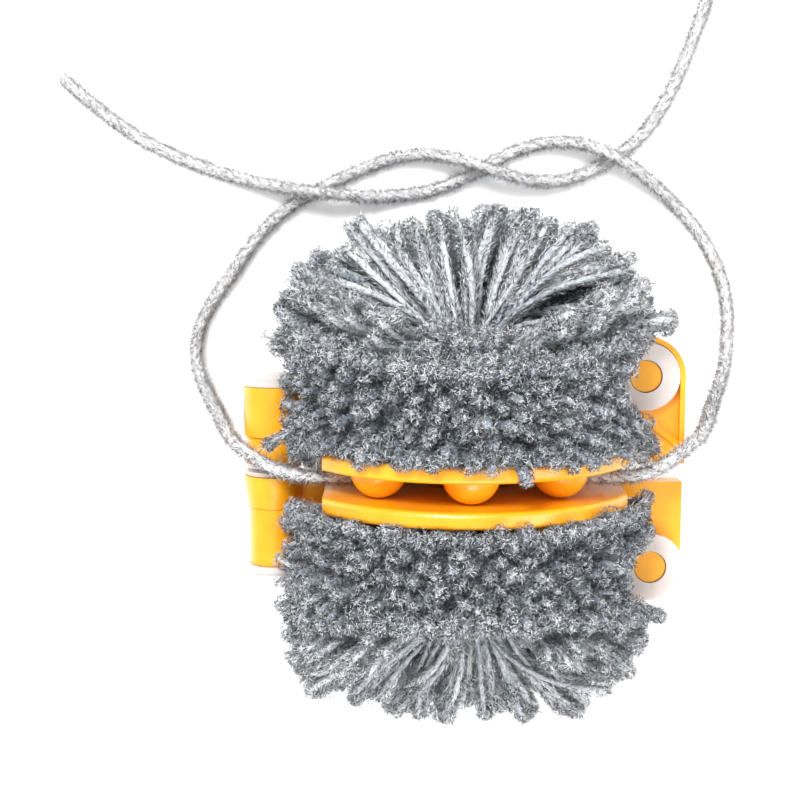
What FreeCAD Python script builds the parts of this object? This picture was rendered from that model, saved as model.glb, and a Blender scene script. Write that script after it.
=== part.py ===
import FreeCAD, Part
import math
import os
import re

import Sketcher

# Hand-held maker for yarn pom-poms, lying on its side on the cut yarn that it carries.
# Two equal halves, upper (+Y) and lower (-Y), meet at a groove for scissors and tie yarn.
# Each half is a milky bar with two yellow half-ring arms, hinged on one pin at the left
# and latched on the bar at the right. Near arms face +Z, far arms face the table.
# Frame: X across the ring, Y along the ring's axis, Z up; origin on the table under the ring.

Vector = FreeCAD.Vector
X_AXIS = Vector(1, 0, 0)
Y_AXIS = Vector(0, 1, 0)
Z_AXIS = Vector(0, 0, 1)

SIZES = {
    # Ring of each half
    "ring_radius": 42.5,
    "hub_bore_radius": 13.5,
    "hub_wall": 1.6,
    "hub_depth": 20.4,
    "flange_thickness": 2.0,
    "rim_height": 4.0,
    "rim_wall": 2.4,
    "rim_round": 1.1,
    "groove_width": 6.4,
    "parting_gap": 0.3,
    "arm_left": 34.5,
    "arm_right": 38.0,
    # Ribs under the yarn, and spacer domes in the groove
    "rib_count": 12,
    "rib_first_angle": 5.0,
    "rib_thickness": 1.6,
    "rib_crown_radius": 30.0,
    "dome_radius": 6.8,
    "dome_pitch_radius": 32.0,
    "dome_spacing": 41.5,
    "dome_clearance": 0.1,
    # Hinge at the left
    "hinge_offset": 48.0,
    "pin_radius": 2.5,
    "pin_clearance": 0.05,
    "pin_head_radius": 6.9,
    "pin_head_edge": 0.6,
    "pin_head_thickness": 1.5,
    "retainer_start": 0.5,
    "retainer_thickness": 1.0,
    "retainer_radius": 6.9,
    "lug_radius": 7.1,
    "lug_thickness": 1.7,
    "knuckle_gap": 0.15,
    "neck_thickness": 3.0,
    "neck_end": 26.0,
    "upper_inner_radius": 6.7,
    "upper_inner_end": 8.2,
    "upper_outer_radius": 7.3,
    "upper_outer_end": 20.7,
    "lower_collar_radius": 7.5,
    "lower_inner_radius": 6.3,
    "lower_inner_end": 9.7,
    "lower_outer_radius": 6.1,
    "lower_outer_end": 24.1,
    # Bar, its eye and the latches on it
    "bar_thickness": 2.4,
    "bar_shoulder": 33.0,
    "bar_slope": 6.0,
    "eye_radius": 8.5,
    "eye_hole_radius": 4.1,
    "upper_eye_offset": 45.0,
    "upper_eye_height": 23.0,
    "lower_eye_offset": 47.0,
    "lower_eye_height": 25.5,
    "latch_clearance": 0.2,
    "tongue_left": 31.0,
    "tongue_thickness": 1.5,
    "tongue_margin": 3.0,
    "button_radius": 1.5,
    # Tabs of the far arms behind the eyes
    "tab_bottom": 1.0,
    "tray_depth": 1.5,
    "tray_floor": 2.4,
    "tray_lip_wall": 1.3,
    "tray_lip_rise": 0.6,
    "tray_left": 37.5,
    "tray_ridge_foot": 6.0,
    "tray_ridge_angle": 143.0,
    "tray_ridge_length": 13.0,
    "tray_ridge_width": 1.4,
    "tray_ridge_height": 1.2,
    "block_bottom": 4.0,
    "block_top": 24.0,
    "block_left": 43.5,
    "block_right": 55.0,
    "block_thickness": 6.0,
    "block_wall": 1.6,
    "block_ear_radius": 6.0,
    "shoulder_height": 8.0,
    # Cut yarn packed on the arms
    "yarn_radius": 46.0,
    "yarn_reach": 60.0,
    "yarn_turn_radius": 24.0,
    "yarn_notch_depth": 37.0,
    "yarn_notch_height": 14.0,
    "yarn_notch_lean": 9.0,
    "yarn_fan_edge": 9.0,
    "yarn_clearance": 0.3,
    "yarn_parting": 1.6,
    "yarn_flat": 0.5,
    "barrel_room_radius": 13.5,
    # Tie yarn
    "tie_diameter": 3.0,
}

# Room beyond the part for tools that cut right through it
FAR = 80.0

# Height of the ring's axis above the table
RING_HEIGHT = "(yarn_radius - yarn_flat)"
# Face of each flange, and top of its rim, from the plane between the halves
FACE = "(groove_width / 2)"
RIM_TOP = "(groove_width / 2 + rim_height)"
# Hinge stack along Y: retainer, far arm's knuckle, near arm's knuckle, lug of the bar, pin head
INNER_START = "(retainer_start + retainer_thickness + knuckle_gap)"

doc = FreeCAD.newDocument("pom_pom_maker")
sheet = doc.addObject("Spreadsheet::Sheet", "Sizes")
for row, (alias, value) in enumerate(SIZES.items(), start=1):
    sheet.set(f"A{row}", alias)
    sheet.set(f"B{row}", str(value))
    sheet.setAlias(f"B{row}", alias)
doc.recompute()

NAMES = re.compile(r"\b(" + "|".join(sorted(SIZES, key=len, reverse=True)) + r")\b")


def on_sheet(formula):
    """The formula with each size read from the sheet."""
    return NAMES.sub(r"Sizes.\1", str(formula))


def number(formula):
    """The value that the formula has now."""
    value = sheet.evalExpression(on_sheet(formula))
    return float(getattr(value, "Value", value))


def bind(item, formulas):
    """Tie properties of an object to formulas of the sheet's sizes."""
    for path, formula in formulas.items():
        item.setExpression(path, on_sheet(formula))
    return item


def place(item, x=0, y=0, z=0):
    """Tie an object's place to formulas."""
    return bind(item, {"Placement.Base.x": x, "Placement.Base.y": y, "Placement.Base.z": z})


def cylinder(radius, start, length, x=0, z=0, angle=-90.0):
    """Cylinder along +Y from y = start."""
    item = doc.addObject("Part::Cylinder", "cylinder")
    item.Placement.Rotation = FreeCAD.Rotation(X_AXIS, angle)
    bind(item, {"Radius": radius, "Height": length})
    return place(item, x, start, z)


def post(radius, x, y, start, length):
    """Cylinder along +Z from z = start."""
    item = doc.addObject("Part::Cylinder", "post")
    bind(item, {"Radius": radius, "Height": length})
    return place(item, x, y, start)


def block(x, y, z):
    """Box between two formulas on each axis."""
    item = doc.addObject("Part::Box", "block")
    sides = {"Length": x, "Width": y, "Height": z}
    bind(item, {side: f"({ends[1]}) - ({ends[0]})" for side, ends in sides.items()})
    return place(item, x[0], y[0], z[0])


def cut(base, tool):
    """Base without tool."""
    item = doc.addObject("Part::Cut", "cut")
    item.Base = base
    item.Tool = tool
    return item


def cut_all(base, tools):
    """Base without each of the tools."""
    for tool in tools:
        base = cut(base, tool)
    return base


def fuse(*shapes):
    """One solid of several shapes."""
    item = doc.addObject("Part::MultiFuse", "fuse")
    item.Shapes = list(shapes)
    item.Refine = True
    return item


def common(*shapes):
    """What the shapes have in common."""
    item = doc.addObject("Part::MultiCommon", "common")
    item.Shapes = list(shapes)
    return item


def mirrored(source, normal):
    """Mirror image in the plane through the origin square to normal."""
    item = doc.addObject("Part::Mirroring", "mirrored")
    item.Source = source
    item.Normal = normal
    return item


def new_body(name):
    """Empty body for sketched features."""
    return doc.addObject("PartDesign::Body", name)


def outline(body, name, corners):
    """Closed sketch on the body's XY plane through corners of two formulas each.

    A third formula is the radius of the arc from that corner to the next, convex where
    the outline runs counterclockwise.
    """
    sketch = body.newObject("Sketcher::SketchObject", name)
    plane = next(item for item in body.Origin.OriginFeatures if item.Role == "XY_Plane")
    sketch.AttachmentSupport = (plane, "")
    sketch.MapMode = "FlatFace"
    points = [Vector(number(corner[0]), number(corner[1]), 0) for corner in corners]
    count = len(corners)
    for index, corner in enumerate(corners):
        begin = points[index]
        end = points[(index + 1) % count]
        if len(corner) == 2:
            sketch.addGeometry(Part.LineSegment(begin, end))
            continue
        radius = number(corner[2])
        half = (end - begin) * 0.5
        outward = Vector(half.y, -half.x, 0).normalize()
        rise = radius - math.sqrt(radius**2 - half.Length**2)
        sketch.addGeometry(Part.Arc(begin, begin + half + outward * rise, end))
    for index in range(count):
        sketch.addConstraint(arc_end(sketch, index, (index + 1) % count))
    for index, corner in enumerate(corners):
        start = 1 if len(corner) == 2 or keeps_direction(sketch, index, points[index]) else 2
        bound_distance(sketch, "DistanceX", index, start, corner[0])
        bound_distance(sketch, "DistanceY", index, start, corner[1])
        if len(corner) == 3:
            constraint = sketch.addConstraint(Sketcher.Constraint("Radius", index, number(corner[2])))
            sketch.setExpression(f"Constraints[{constraint}]", on_sheet(corner[2]))
    return sketch


def keeps_direction(sketch, index, point):
    """Whether the stored edge starts at the point that it was drawn from."""
    return sketch.Geometry[index].StartPoint.distanceToPoint(point) < 1e-6


def arc_end(sketch, index, following):
    """Constraint that joins the end of one edge to the start of the next."""
    edge = sketch.Geometry[index]
    after = sketch.Geometry[following]
    near = [
        (first, second)
        for first, point in ((1, edge.StartPoint), (2, edge.EndPoint))
        for second, other in ((1, after.StartPoint), (2, after.EndPoint))
        if point.distanceToPoint(other) < 1e-6
    ]
    first, second = near[0]
    return Sketcher.Constraint("Coincident", index, first, following, second)


def bound_distance(sketch, kind, index, end, formula):
    """Tie one coordinate of an edge's end to a formula, or put it on the axis."""
    if formula == 0:
        axis = -2 if kind == "DistanceX" else -1
        sketch.addConstraint(Sketcher.Constraint("PointOnObject", index, end, axis))
        return
    value = number(formula)
    constraint = sketch.addConstraint(Sketcher.Constraint(kind, -1, 1, index, end, value))
    sketch.setExpression(f"Constraints[{constraint}]", on_sheet(formula))


def revolve(body, sketch, name):
    """Full turn of a sketch about the Y axis."""
    item = body.newObject("PartDesign::Revolution", name)
    item.Profile = sketch
    item.ReferenceAxis = (sketch, ["V_Axis"])
    item.Angle = 360
    return item


def pad(body, sketch, name, length, both_ways=False):
    """Prism on a sketch, upwards or to both sides alike."""
    item = body.newObject("PartDesign::Pad", name)
    item.Profile = sketch
    item.Midplane = both_ways
    return bind(item, {"Length": length})


nodes = {}


def node(name, shape, half="upper", side="near", x=0):
    """Name a finished sub-part, turned over for the lower half or the far side."""
    if half == "lower":
        shape = mirrored(shape, Y_AXIS)
    if side == "far":
        shape = mirrored(shape, Z_AXIS)
    shape.Label = name
    place(shape, x, 0, RING_HEIGHT)
    nodes[name] = shape
    return shape


class Half:
    """Formulas that differ between the upper and the lower half."""

    def __init__(self, name):
        self.name = name
        self.inner_end = f"{name}_inner_end"
        self.outer_start = f"({name}_inner_end + knuckle_gap)"
        self.outer_end = f"{name}_outer_end"
        self.lug_start = f"({name}_outer_end + knuckle_gap)"
        self.lug_end = f"({name}_outer_end + knuckle_gap + lug_thickness)"
        self.eye_x = f"{name}_eye_offset"
        self.eye_y = f"{name}_eye_height"
        self.bar_top = f"({name}_eye_height + eye_radius)"
        self.button_x = "((tongue_left + arm_right) / 2)"
        self.button_y = f"(({self.lug_start} + {self.bar_top}) / 2)"
        self.tongue_top = f"({self.bar_top} - tongue_margin)"


UPPER = Half("upper")
LOWER = Half("lower")
HALVES = (UPPER, LOWER)


def flange():
    """Flange with its rounded rim lip."""
    body = new_body("flange_body")
    bore = "hub_bore_radius + hub_wall / 2"
    inside = "ring_radius - rim_wall"
    profile = outline(body, "flange_profile", [
        (bore, FACE),
        ("ring_radius - rim_round", FACE, "rim_round"),
        ("ring_radius", f"{FACE} + rim_round"),
        ("ring_radius", f"{RIM_TOP} - rim_round", "rim_round"),
        ("ring_radius - rim_round", RIM_TOP),
        (inside, RIM_TOP),
        (inside, f"{FACE} + flange_thickness"),
        (bore, f"{FACE} + flange_thickness"),
    ])
    revolve(body, profile, "flange_turn")
    return body


def spine():
    """Hub wall with the ribs that the yarn is wound over."""
    body = new_body("spine_body")
    wall = outline(body, "hub_profile", [
        ("hub_bore_radius", FACE),
        ("hub_bore_radius + hub_wall", FACE),
        ("hub_bore_radius + hub_wall", "hub_depth"),
        ("hub_bore_radius", "hub_depth"),
    ])
    revolve(body, wall, "hub_turn")
    root = "hub_bore_radius + hub_wall / 4"
    end = "ring_radius - rim_wall / 2"
    rib = outline(body, "rib_profile", [
        (root, f"{FACE} + flange_thickness / 2"),
        (end, f"{FACE} + flange_thickness / 2"),
        (end, f"{RIM_TOP} - rim_round", "rib_crown_radius"),
        (root, "hub_depth"),
    ])
    first = pad(body, rib, "rib", "rib_thickness", both_ways=True)
    doc.recompute()
    ribs = body.newObject("PartDesign::PolarPattern", "ribs")
    ribs.Originals = [first]
    ribs.Axis = (rib, ["V_Axis"])
    ribs.Reversed = True
    bind(ribs, {"Angle": "180 - 2 * rib_first_angle", "Occurrences": "rib_count"})
    body.Tip = ribs
    body.Placement.Rotation = FreeCAD.Rotation(-Y_AXIS, 1.0)
    return bind(body, {"Placement.Rotation.Angle": "rib_first_angle"})


def domes():
    """Three spacer domes that bear on the flange of the other half."""
    found = []
    for step in (-1, 0, 1):
        angle = f"(90 + {step} * dome_spacing)"
        item = doc.addObject("Part::Sphere", "dome")
        item.Angle1 = -90
        item.Angle2 = 0
        item.Placement.Rotation = FreeCAD.Rotation(X_AXIS, -90)
        bind(item, {"Radius": "dome_radius"})
        place(
            item,
            f"dome_pitch_radius * cos({angle})",
            f"dome_radius + dome_clearance - {FACE}",
            f"dome_pitch_radius * sin({angle})",
        )
        found.append(item)
    return found


def knuckle(half, side):
    """Barrel on the hinge pin, and the neck that joins it to the arm."""
    if side == "near":
        start, end, radius = half.outer_start, half.outer_end, f"{half.name}_outer_radius"
        neck_top, neck_right = "hub_depth", "-hub_bore_radius - hub_wall / 2"
    else:
        start, end, radius = INNER_START, half.inner_end, f"{half.name}_inner_radius"
        neck_top, neck_right = half.inner_end, "-neck_end"
    length = f"{end} - {start}"
    if half is LOWER and side == "far":
        barrel = doc.addObject("Part::Cone", "collar")
        barrel.Placement.Rotation = FreeCAD.Rotation(X_AXIS, -90)
        bind(barrel, {"Radius1": "lower_collar_radius", "Radius2": radius, "Height": length})
        place(barrel, "-hinge_offset", start, 0)
    else:
        barrel = cylinder(radius, start, length, "-hinge_offset")
    neck = block(
        ("-hinge_offset", neck_right),
        (start, neck_top),
        ("parting_gap / 2", "parting_gap / 2 + neck_thickness"),
    )
    return barrel, neck


def tray(half):
    """Shallow tray behind the upper eye: floor, raised lip round the eye, and a ridge."""
    inner = "(eye_radius + latch_clearance)"
    outer = "(eye_radius + latch_clearance + tray_lip_wall)"
    shapes = []
    for name, radius, margin in (("tray", outer, 0), ("tray_hollow", inner, 1)):
        body = new_body(f"{name}_body")
        edge = outline(body, f"{name}_outline", [
            (f"tray_left - {margin}", f"tab_bottom - {margin}"),
            (f"{half.eye_x} + {radius}", f"tab_bottom - {margin}"),
            (f"{half.eye_x} + {radius}", half.eye_y, radius),
            (half.eye_x, f"{half.eye_y} + {radius}"),
            (f"tray_left - {margin}", f"{half.eye_y} + {radius}"),
        ])
        floor = "tray_floor" if margin == 0 else margin
        pad(body, edge, f"{name}_pad", f"tray_lip_rise + tray_depth + {floor}")
        shapes.append(place(body, 0, 0, f"-tray_lip_rise - {margin}"))
    ridge = doc.addObject("Part::Box", "ridge")
    ridge.Placement.Rotation = FreeCAD.Rotation(Z_AXIS, 1.0)
    bind(ridge, {
        "Placement.Rotation.Angle": "tray_ridge_angle",
        "Length": "tray_ridge_length",
        "Width": "tray_ridge_width",
        "Height": "tray_ridge_height + tray_floor / 2",
    })
    place(
        ridge,
        f"{half.eye_x} + {inner} + tray_lip_wall / 2",
        "tray_ridge_foot",
        "tray_depth - tray_ridge_height",
    )
    return [cut(shapes[0], shapes[1]), ridge]


def hollow_block(half):
    """Thick tab behind the lower eye, open at the back, with an ear that carries the boss."""
    outside = block(
        ("block_left", "block_right"),
        ("block_bottom", "block_top"),
        ("tray_depth", "tray_depth + block_thickness"),
    )
    inside = block(
        ("block_left + block_wall", "block_right - block_wall"),
        ("block_bottom + block_wall", "block_top - block_wall"),
        ("tray_depth + block_wall", FAR),
    )
    ear = post("block_ear_radius", half.eye_x, half.eye_y, "tray_depth", "block_wall")
    return [cut(outside, inside), ear]


def arm(half, side):
    """One half-ring arm, drawn on the near side of the upper half."""
    room = block(("-arm_left", "arm_right"), (0, FAR), ("parting_gap / 2", FAR))
    ring = common(fuse(flange(), spine()), room)
    shapes = [ring, *knuckle(half, side)]
    if half is UPPER:
        shapes.extend(domes())
    if side == "near":
        face = "(bar_thickness / 2 + parting_gap / 2)"
        shapes.append(block(
            ("tongue_left", "arm_right"),
            (FACE, half.tongue_top),
            (face, f"{face} + tongue_thickness"),
        ))
        shapes.append(post(
            "button_radius", half.button_x, half.button_y,
            "parting_gap / 2", f"{face} - parting_gap / 2 + tongue_thickness / 2",
        ))
    else:
        tab_left = "tray_left" if half is UPPER else "block_left"
        shapes.append(block(
            ("hub_bore_radius + hub_wall / 2", f"{tab_left} + block_wall"),
            (FACE, "shoulder_height"),
            ("tray_depth", "tray_depth + tray_floor"),
        ))
        shapes.extend(tray(half) if half is UPPER else hollow_block(half))
        shapes.append(post(
            "eye_hole_radius - latch_clearance", half.eye_x, half.eye_y,
            "-tray_lip_rise", "tray_lip_rise + tray_depth + block_wall / 2",
        ))
    bore = cylinder("pin_radius + pin_clearance", -FAR, 2 * FAR, "-hinge_offset")
    return node(f"{half.name}_{side}_arm", cut(fuse(*shapes), bore), half.name, side)


def bar(half):
    """Milky bar of one half, with the hinge lug, the eye and the hole for the near arm's button."""
    body = new_body(f"{half.name}_bar_body")
    plate = outline(body, f"{half.name}_bar_outline", [
        ("-hinge_offset", half.lug_start),
        (half.eye_x, half.lug_start),
        (half.eye_x, half.bar_top),
        ("-bar_shoulder", half.bar_top),
        ("-bar_shoulder - bar_slope", half.lug_end),
        ("-hinge_offset", half.lug_end),
    ])
    pad(body, plate, f"{half.name}_bar_pad", "bar_thickness", both_ways=True)
    bottom = "-bar_thickness / 2"
    eye = post("eye_radius", half.eye_x, half.eye_y, bottom, "bar_thickness")
    lug = cylinder("lug_radius", half.lug_start, "lug_thickness", "-hinge_offset")
    holes = [
        post("eye_hole_radius", half.eye_x, half.eye_y, -FAR, 2 * FAR),
        post("button_radius + latch_clearance", half.button_x, half.button_y, -FAR, 2 * FAR),
        cylinder("pin_radius", 0, FAR, "-hinge_offset"),
    ]
    return node(f"{half.name}_bar", cut_all(fuse(body, eye, lug), holes), half.name)


def hinge_pin(half):
    """Hinge pin with a domed head, and the retaining disc pressed on its inner end."""
    rise = "(pin_head_thickness - pin_head_edge)"
    body = new_body(f"{half.name}_pin_body")
    profile = outline(body, f"{half.name}_pin_profile", [
        (0, "retainer_start"),
        ("pin_radius", "retainer_start"),
        ("pin_radius", half.lug_end),
        ("pin_head_radius", half.lug_end),
        (
            "pin_head_radius",
            f"{half.lug_end} + pin_head_edge",
            f"(pin_head_radius * pin_head_radius + {rise} * {rise}) / 2 / {rise}",
        ),
        (0, f"{half.lug_end} + pin_head_thickness"),
    ])
    revolve(body, profile, f"{half.name}_pin_turn")
    node(f"{half.name}_hinge_pin", body, half.name, x="-hinge_offset")
    disc = cylinder("retainer_radius", "retainer_start", "retainer_thickness")
    hole = cylinder("pin_radius", "retainer_start - 1", "retainer_thickness + 2")
    node(f"{half.name}_pin_retainer", cut(disc, hole), half.name, x="-hinge_offset")


def yarn_blank():
    """Outer form of the cut yarn on one arm: a drum with a turned edge."""
    body = new_body("yarn_body")
    profile = outline(body, "yarn_profile", [
        (0, FACE),
        ("yarn_radius", FACE),
        ("yarn_radius", "yarn_reach - yarn_turn_radius", "yarn_turn_radius"),
        ("yarn_radius - yarn_turn_radius", "yarn_reach"),
        (0, "yarn_reach"),
    ])
    revolve(body, profile, "yarn_turn")
    return body


def rim_room():
    """Space of the flange, its rim and the groove, which the yarn keeps out of."""
    body = new_body("rim_room_body")
    top = f"{RIM_TOP} + yarn_clearance"
    bore = "hub_bore_radius - yarn_clearance"
    profile = outline(body, "rim_room_profile", [(bore, 0), (FAR, 0), (FAR, top), (bore, top)])
    revolve(body, profile, "rim_room_turn")
    return body


def rib_room():
    """Space of the hub wall and the ribs out to the outside of the rim, with clearance."""
    body = new_body("rib_room_body")
    bore = "hub_bore_radius - yarn_clearance"
    edge = "ring_radius + yarn_clearance"
    top = "hub_depth + yarn_clearance"
    profile = outline(body, "rib_room_profile", [
        (bore, FACE),
        (edge, FACE),
        (edge, RIM_TOP, "rib_crown_radius + yarn_clearance"),
        ("hub_bore_radius + hub_wall + yarn_clearance", top),
        (bore, top),
    ])
    revolve(body, profile, "rib_room_turn")
    return body


def notch():
    """Space over the strands that fan out of the hub, behind the tufts that stand on the ribs.

    Its section runs square to X. One side leans back over the tufts, and the other falls with
    the fan to its edge. Each is drawn on as far again as it is long.
    """
    body = new_body("notch_body")
    beyond = "2 * yarn_reach - yarn_notch_depth"
    above = "2 * yarn_radius - yarn_notch_height"
    section = outline(body, "notch_section", [
        ("yarn_notch_depth", "yarn_notch_height"),
        (beyond, "2 * yarn_fan_edge - yarn_notch_height"),
        (beyond, above),
        ("yarn_notch_depth - 2 * yarn_notch_lean", above),
    ])
    pad(body, section, "notch_pad", 2 * FAR, both_ways=True)
    body.Placement.Rotation = FreeCAD.Rotation(X_AXIS + Y_AXIS + Z_AXIS, 120)
    return body


def yarn(half, side):
    """Cut yarn packed on one arm, clear of the arm, the hinge, the bar and the latch."""
    near = side == "near"
    blank = common(yarn_blank(), block((-FAR, FAR), (0, FAR), ("yarn_parting", FAR)))
    tools = [notch(), rim_room(), rib_room()]
    tools.append(cylinder(
        "barrel_room_radius", 0,
        f"{half.lug_end} + pin_head_thickness + yarn_clearance", "-hinge_offset",
    ))
    start = half.outer_start if near else INNER_START
    end = "hub_depth" if near else half.inner_end
    tools.append(block(
        ("-hinge_offset", "-hub_bore_radius"),
        (f"{start} - yarn_clearance", f"{end} + yarn_clearance"),
        (0, "parting_gap / 2 + neck_thickness + yarn_clearance"),
    ))
    if near:
        tools.append(post(
            "eye_radius + yarn_clearance", half.eye_x, half.eye_y, "-parting_gap", "2 * yarn_radius",
        ))
        top = half.tongue_top
        depth = "bar_thickness / 2 + parting_gap / 2 + tongue_thickness"
        left, right = "tongue_left", "arm_right + yarn_clearance"
    else:
        top = f"{half.bar_top} + latch_clearance + tray_lip_wall"
        depth = "tray_depth + tray_floor" if half is UPPER else "tray_depth + block_thickness"
        left = "tray_left" if half is UPPER else f"min(block_left; {half.eye_x} - block_ear_radius)"
        right = FAR
        tools.append(block(
            (0, FAR),
            (0, "shoulder_height + yarn_clearance"),
            (0, "tray_depth + tray_floor + yarn_clearance"),
        ))
        tools.append(block(
            (-FAR, FAR), (0, FAR), ("yarn_radius - yarn_flat", FAR),
        ))
    tools.append(block(
        (f"{left} - yarn_clearance", right), (0, f"{top} + yarn_clearance"), (0, f"{depth} + yarn_clearance")
    ))
    return node(f"{half.name}_{side}_yarn", cut_all(blank, tools), half.name, side)


# Route of the tie yarn round the strands in the hub, in the groove: (x, height over the ring's axis)
CORE_BEND = [(-34.5, 14.0), (-26.0, 14.4), (-19.5, 8.5), (-18.7, -2.0), (-13.5, -13.0), (-4.8, -18.9)]
CORE_ROUTE = [(x, 0.0, z) for x, z in CORE_BEND] + [(-x, 0.0, z) for x, z in reversed(CORE_BEND)]

# Free stretch from the left of the groove, over the hinge, down to the table and round to the
# right: (x, y, height over the ring's axis), then (x, y, height over the table)
LEFT_FALL = [
    (-34.5, 0.0, 14.0), (-39.5, 0.0, 13.765), (-44.2, 0.5, 11.9), (-49.3, 2.9, 11.6),
    (-54.6, 5.8, 9.3), (-58.5, 8.3, 4.6), (-60.6, 10.2, -2.6), (-63.5, 12.4, -12.0),
    (-67.6, 15.4, -25.0), (-71.3, 18.8, -36.5),
]
LEFT_LAID = [
    (-73.4, 24.4, 3.2), (-72.9, 31.2, 1.5), (-68.9, 39.2, 1.5), (-62.8, 47.2, 1.5), (-57.0, 56.2, 1.5),
    (-48.5, 64.6, 1.5), (-38.5, 70.6, 1.5), (-27.4, 75.6, 1.5), (-17.5, 79.2, 1.5), (-7.6, 80.0, 4.0),
    (1.8, 77.7, 7.5), (10.8, 74.7, 7.5), (20.2, 72.2, 4.0), (30.0, 72.6, 1.5), (38.8, 76.3, 1.5),
    (46.2, 81.0, 1.5), (52.2, 86.9, 1.5), (57.3, 95.2, 1.5), (61.8, 105.5, 1.5), (65.4, 115.4, 1.5),
    (68.4, 125.0, 1.5),
]
# Free stretch from the right of the groove, over the tray, down to the table and round to the left
RIGHT_FALL = [
    (34.5, 0.0, 14.0), (39.5, 0.0, 13.765), (44.8, 0.9, 12.4), (49.8, 3.1, 9.3), (54.8, 5.8, 5.8),
    (59.3, 8.3, 1.0), (62.6, 10.6, -7.5), (66.0, 13.0, -19.0), (70.2, 16.2, -31.0), (73.5, 20.6, -39.3),
]
RIGHT_LAID = [
    (75.2, 27.4, 2.4), (75.4, 36.0, 1.5), (73.4, 46.4, 1.5), (68.6, 56.2, 1.5), (61.2, 65.0, 1.5),
    (53.6, 71.6, 4.0), (46.3, 76.8, 7.5), (38.3, 81.0, 7.5), (30.2, 83.4, 4.0), (21.0, 82.6, 1.5),
    (12.0, 79.6, 1.5), (3.8, 74.2, 1.5), (-7.0, 69.8, 1.5), (-16.4, 68.6, 1.5), (-25.6, 68.0, 4.0),
    (-34.6, 69.0, 7.5), (-43.2, 69.9, 7.5), (-52.0, 71.3, 4.0), (-62.2, 73.7, 1.5), (-74.8, 77.8, 1.5),
    (-87.2, 83.6, 1.5), (-98.4, 91.4, 1.5), (-108.8, 100.5, 1.5),
]


def rounded(points):
    """Straight runs joined by tangent arcs as large as the runs allow, and the arcs' radii."""
    share = 0.45
    edges = []
    radii = []
    begin = points[0]
    for before, corner, after in zip(points, points[1:], points[2:]):
        back = before - corner
        ahead = after - corner
        shorter = min(back.Length, ahead.Length)
        half_turn = (math.pi - back.getAngle(ahead)) / 2
        radius = share * shorter / math.tan(half_turn)
        back.normalize()
        ahead.normalize()
        enter = corner + back * (share * shorter)
        leave = corner + ahead * (share * shorter)
        towards = (back + ahead).normalize()
        middle = corner + towards * (radius / math.cos(half_turn) - radius)
        edges.append(Part.LineSegment(begin, enter).toShape())
        edges.append(Part.Arc(enter, middle, leave).toShape())
        radii.append(radius)
        begin = leave
    edges.append(Part.LineSegment(begin, points[-1]).toShape())
    return Part.Wire(edges), radii


def tie_yarn(name, points):
    """Tube of the tie yarn along a route, with its volume compared with section times length."""
    path, radii = rounded(points)
    radius = number("tie_diameter") / 2
    ring = Part.Circle(points[0], points[1] - points[0], radius)
    section = Part.Wire([ring.toShape()])
    tube = path.makePipeShell([section], True, False)
    share = tube.Volume / (math.pi * radius**2 * path.Length)
    print(f"{name}: length {path.Length:.1f} mm, smallest radius {min(radii):.1f} mm")
    print(f"{name}: radii {' '.join(f'{r:.0f}' for r in radii)}, volume share {share:.4f}")
    if abs(share - 1) > 0.01:
        raise ValueError(f"{name} has the wrong volume")
    item = doc.addObject("Part::Feature", name)
    item.Shape = tube
    item.Label = name
    nodes[name] = item


def route(points, base):
    """Points of a route raised by the height that they are measured from."""
    return [Vector(x, y, z + base) for x, y, z in points]


for side_half in HALVES:
    bar(side_half)
    hinge_pin(side_half)
    for arm_side in ("near", "far"):
        arm(side_half, arm_side)
        yarn(side_half, arm_side)

doc.recompute()
ring_height = number(RING_HEIGHT)
tie_yarn("tie_yarn_core", route(CORE_ROUTE, ring_height))
tie_yarn("tie_yarn_left", route(LEFT_FALL, ring_height) + route(LEFT_LAID, 0))
tie_yarn("tie_yarn_right", route(RIGHT_FALL, ring_height) + route(RIGHT_LAID, 0))
doc.recompute()

for item in doc.Objects:
    if "Invalid" in item.State or "Error" in item.State:
        raise ValueError(f"{item.Name} ({item.Label}) failed: {item.State}")

os.makedirs("parts", exist_ok=True)
for name, item in nodes.items():
    shape = item.Shape
    if shape.isNull() or not shape.isValid() or not shape.Solids:
        raise ValueError(f"{name} has no valid solid")
    box = shape.BoundBox
    corners = " ".join(
        f"{value:.1f}" for value in (box.XMin, box.XMax, box.YMin, box.YMax, box.ZMin, box.ZMax)
    )
    print(f"{name}: {len(shape.Solids)} solid, {shape.Volume:.0f} mm3, box {corners}")
    shape.exportStep(f"parts/{name}.step")
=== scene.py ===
"""Looks of a yarn pom-pom maker that lies on its side, packed with cut yarn and tied.

Sizes are in millimetres until a mesh is made. The arm frame of one arm has x across the ring,
the depth from the groove's middle plane, and the height over (or below) the ring's axis.
"""

import logging
import math
from dataclasses import dataclass, field
from enum import Enum

import bpy
import numpy as np
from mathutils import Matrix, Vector


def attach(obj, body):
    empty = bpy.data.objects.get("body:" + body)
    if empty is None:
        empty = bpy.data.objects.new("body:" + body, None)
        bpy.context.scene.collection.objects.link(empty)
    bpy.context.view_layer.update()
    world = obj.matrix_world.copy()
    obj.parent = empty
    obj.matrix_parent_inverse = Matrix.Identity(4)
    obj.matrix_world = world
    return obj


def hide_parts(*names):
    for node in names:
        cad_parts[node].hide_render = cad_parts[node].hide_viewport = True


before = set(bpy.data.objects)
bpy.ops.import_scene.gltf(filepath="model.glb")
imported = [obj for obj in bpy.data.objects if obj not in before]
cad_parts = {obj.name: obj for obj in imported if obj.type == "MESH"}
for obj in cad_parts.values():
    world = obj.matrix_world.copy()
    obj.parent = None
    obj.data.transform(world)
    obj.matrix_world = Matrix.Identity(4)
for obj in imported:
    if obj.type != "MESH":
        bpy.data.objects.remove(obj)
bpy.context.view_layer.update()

log = logging.getLogger("pom_pom_maker")

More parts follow.
